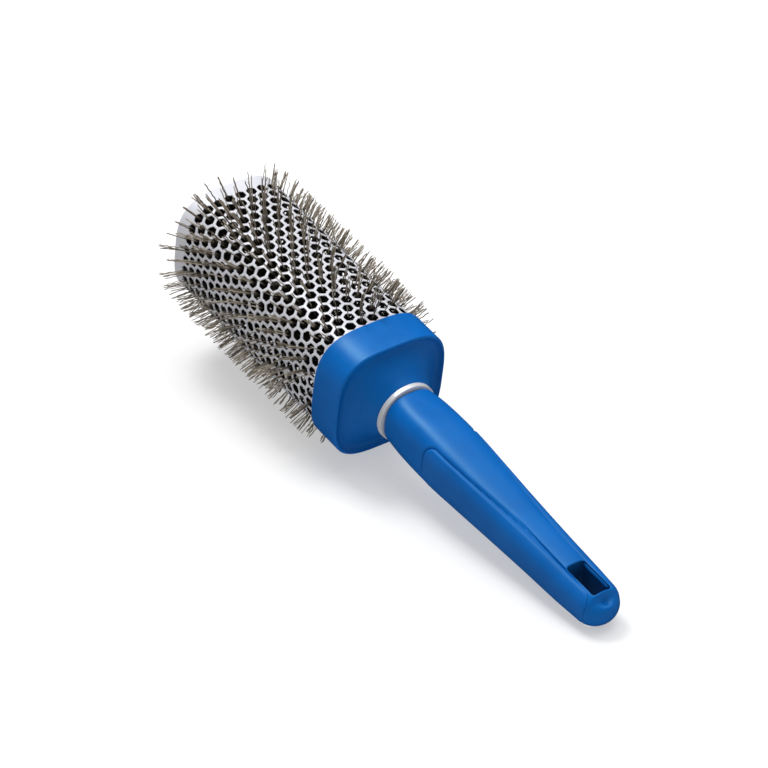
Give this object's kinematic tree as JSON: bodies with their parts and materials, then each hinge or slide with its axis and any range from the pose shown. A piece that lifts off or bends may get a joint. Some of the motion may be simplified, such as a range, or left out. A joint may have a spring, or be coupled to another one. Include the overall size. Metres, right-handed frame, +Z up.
{
  "type": "round barrel hair brush",
  "caption": "Round thermal hair brush: rounded-square perforated barrel with through bristles, flared collar, bright ring and moulded handle with side grips and a hanging slot.",
  "frame": {"origin": "bottom centre of the brush's box, on the surface that the brush lies on", "axes": "+X from the handle's tail towards the free end of the barrel, +Z up; the brush lies on its tail and its first ring of bristles, so its own axis rises about 9.7 degrees towards +X"},
  "size_m": [0.2686, 0.073, 0.0875],
  "materials": {
    "handle_shell": "satin moulded plastic, mid blue",
    "collar_shell": "satin moulded plastic, mid blue",
    "grip_soft_touch": "soft-touch elastomer, same blue",
    "bright_ring": "satin bright metal",
    "inner_plastic": "black moulded plastic, hidden",
    "ceramic_coat": "white ceramic coat on perforated aluminium",
    "cap_shell": "satin moulded plastic, mid blue",
    "bush_brass": "turned brass",
    "ferrule_aluminium": "crimped aluminium sleeve",
    "wire_steel": "galvanised twisted wire",
    "bristle_nylon": "crimped nylon filament, taupe grey"
  },
  "bodies": {
    "root": {"barrel": "ceramic_coat", "barrel_collar": "collar_shell", "barrel_plug": "inner_plastic", "bristle_fan_01": "bristle_nylon", "bristle_fan_02": "bristle_nylon", "bristle_fan_03": "bristle_nylon", "bristle_fan_04": "bristle_nylon", "bristle_fan_05": "bristle_nylon", "bristle_fan_06": "bristle_nylon", "bristle_fan_07": "bristle_nylon", "bristle_fan_08": "bristle_nylon", "bristle_fan_09": "bristle_nylon", "bristle_fan_10": "bristle_nylon", "bristle_fan_11": "bristle_nylon", "bristle_fan_12": "bristle_nylon", "bristle_fan_13": "bristle_nylon", "bristle_fan_14": "bristle_nylon", "bristle_fan_15": "bristle_nylon", "bristle_fan_16": "bristle_nylon", "bristle_fan_17": "bristle_nylon", "bristle_fan_18": "bristle_nylon", "bristle_fan_19": "bristle_nylon", "bristle_fan_20": "bristle_nylon", "core_wire_a": "wire_steel", "core_wire_b": "wire_steel", "end_bush": "bush_brass", "end_cap": "cap_shell", "handle_body": "handle_shell", "left_grip_panel": "grip_soft_touch", "neck_ring": "bright_ring", "right_grip_panel": "grip_soft_touch", "wire_ferrule": "ferrule_aluminium"}
  },
  "joints": []
}
